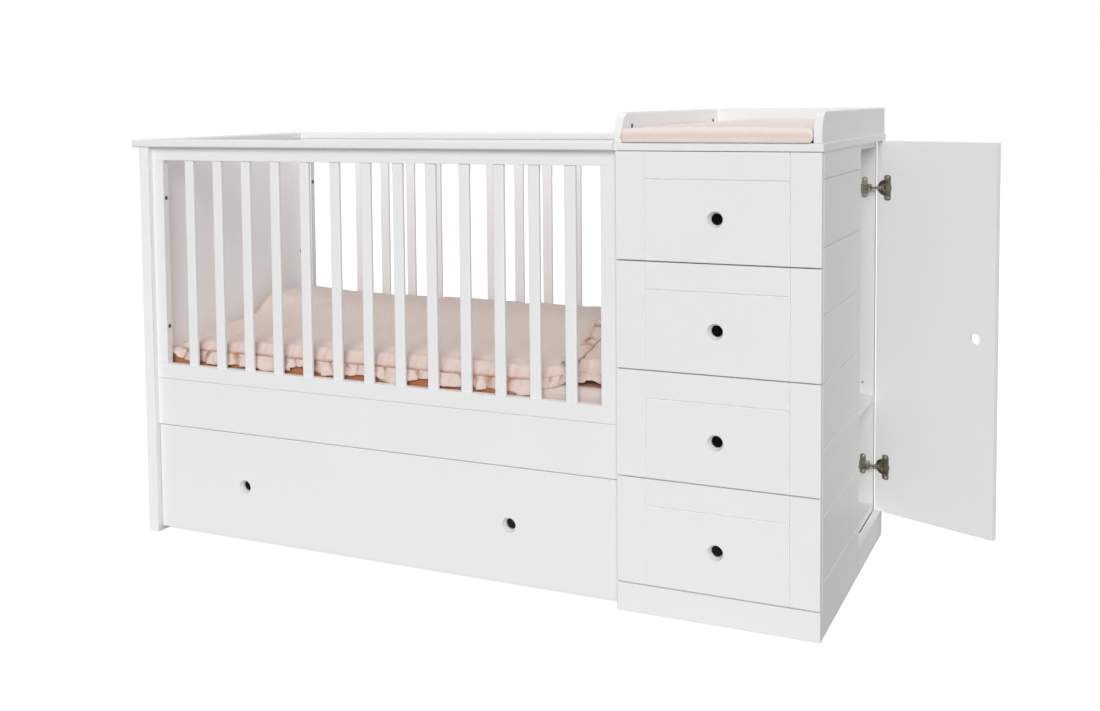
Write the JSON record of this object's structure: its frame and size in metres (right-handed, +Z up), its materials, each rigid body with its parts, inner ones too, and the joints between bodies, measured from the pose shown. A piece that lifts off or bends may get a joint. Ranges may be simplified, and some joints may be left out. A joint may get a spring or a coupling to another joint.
{
  "type": "crib with attached changer",
  "caption": "White slatted crib joined to a chest of drawers with a changing tray, a side cupboard on concealed hinges and a rolling under-bed drawer.",
  "frame": {"origin": "bottom centre of the whole object's box, with the cupboard door standing open", "axes": "+X towards the chest with the changing tray, -Y the side that the drawers open to, +Z up"},
  "size_m": [1.9323, 0.715, 1.028],
  "materials": {
    "white_paint": "white satin paint on smooth board",
    "hinge_metal": "dark nickel-bronze plate, half matt",
    "bright_steel": "zinc plate",
    "duvet_cloth": "soft washed cotton, pale pink",
    "pad_cloth": "smooth padded cover, pale pink",
    "mattress_cloth": "smooth fitted cotton sheet, very pale pink",
    "pale_wood": "unpainted pale wood, sanded",
    "wheel_plastic": "grey moulded plastic"
  },
  "bodies": {
    "root": {"chest_left_panel": "white_paint", "chest_side_panel": "white_paint", "chest_partition": "white_paint", "chest_back": "white_paint", "chest_top": "white_paint", "chest_bottom": "white_paint", "plinth_front": "white_paint", "plinth_side": "white_paint", "shelf": "white_paint", "shelf_pins": "bright_steel", "drawer_runners": "bright_steel", "hinge_plates": "hinge_metal", "hinge_arms": "hinge_metal", "plate_screws": "bright_steel", "tray_base": "white_paint", "tray_left_wall": "white_paint", "tray_right_wall": "white_paint", "tray_back_wall": "white_paint", "changing_pad": "pad_cloth", "end_panel": "white_paint", "cap_front": "white_paint", "cap_left": "white_paint", "cap_back": "white_paint", "front_top_rail": "white_paint", "back_top_rail": "white_paint", "front_bottom_rail": "white_paint", "back_bottom_rail": "white_paint", "frame_stiles": "white_paint", "front_slats": "white_paint", "back_slats": "white_paint", "front_apron": "white_paint", "back_apron": "white_paint", "bed_rails": "pale_wood", "bed_slats": "pale_wood", "joint_bolts": "hinge_metal", "mattress": "mattress_cloth", "duvet": "duvet_cloth"},
    "drawer_1": {"drawer_front_1": "white_paint", "drawer_box_1": "white_paint", "drawer_base_1": "white_paint"},
    "drawer_2": {"drawer_front_2": "white_paint", "drawer_box_2": "white_paint", "drawer_base_2": "white_paint"},
    "drawer_3": {"drawer_front_3": "white_paint", "drawer_box_3": "white_paint", "drawer_base_3": "white_paint"},
    "drawer_4": {"drawer_front_4": "white_paint", "drawer_box_4": "white_paint", "drawer_base_4": "white_paint"},
    "hinge_inner": {"hinge_inner_links": "hinge_metal"},
    "door": {"door": "white_paint", "hinge_cups": "hinge_metal", "cup_screws": "bright_steel"},
    "hinge_outer": {"hinge_outer_links": "hinge_metal"},
    "underbed_drawer": {"underbed_front": "white_paint", "underbed_box": "white_paint", "underbed_base": "white_paint", "wheel_brackets": "bright_steel"},
    "front_wheel_set": {"front_wheels": "wheel_plastic"},
    "rear_wheel_set": {"rear_wheels": "wheel_plastic"}
  },
  "joints": [
    {"name": "drawer_slide_1", "type": "slide", "parent": "root", "child": "drawer_1", "axis": [0, -1, 0], "range_m": [0, 0.26]},
    {"name": "drawer_slide_2", "type": "slide", "parent": "root", "child": "drawer_2", "axis": [0, -1, 0], "range_m": [0, 0.26]},
    {"name": "drawer_slide_3", "type": "slide", "parent": "root", "child": "drawer_3", "axis": [0, -1, 0], "range_m": [0, 0.26]},
    {"name": "drawer_slide_4", "type": "slide", "parent": "root", "child": "drawer_4", "axis": [0, -1, 0], "range_m": [0, 0.26]},
    {"name": "inner_link_swing", "type": "hinge", "parent": "root", "child": "hinge_inner", "pos_m": [0.68565, 0.3265, 0], "axis": [0, 0, 1], "range_deg": [-9.56, 34.92]},
    {"name": "door_swing", "type": "hinge", "parent": "hinge_inner", "child": "door", "pos_m": [0.69874, 0.34035, 0], "axis": [0, 0, 1], "range_deg": [-100.87, 27.51]},
    {"name": "outer_link_swing", "type": "hinge", "parent": "door", "child": "hinge_outer", "pos_m": [0.69481, 0.33682, 0], "axis": [0, 0, 1], "range_deg": [-26.19, 95.9]},
    {"name": "underbed_slide", "type": "slide", "parent": "root", "child": "underbed_drawer", "axis": [0, -1, 0], "range_m": [0, 0.45]},
    {"name": "front_wheel_roll", "type": "hinge", "parent": "underbed_drawer", "child": "front_wheel_set", "pos_m": [-0.32035, -0.2425, 0.02], "axis": [1, 0, 0], "range_deg": [0, 1290]},
    {"name": "rear_wheel_roll", "type": "hinge", "parent": "underbed_drawer", "child": "rear_wheel_set", "pos_m": [-0.32035, 0.1975, 0.02], "axis": [1, 0, 0], "range_deg": [0, 1290]}
  ],
  "couplings": [
    {"joint": "inner_link_swing", "follows": "door_swing", "ratio": -0.3457},
    {"joint": "outer_link_swing", "follows": "door_swing", "ratio": -0.9502},
    {"joint": "front_wheel_roll", "follows": "underbed_slide", "rad_per_m": 50},
    {"joint": "rear_wheel_roll", "follows": "underbed_slide", "rad_per_m": 50}
  ]
}
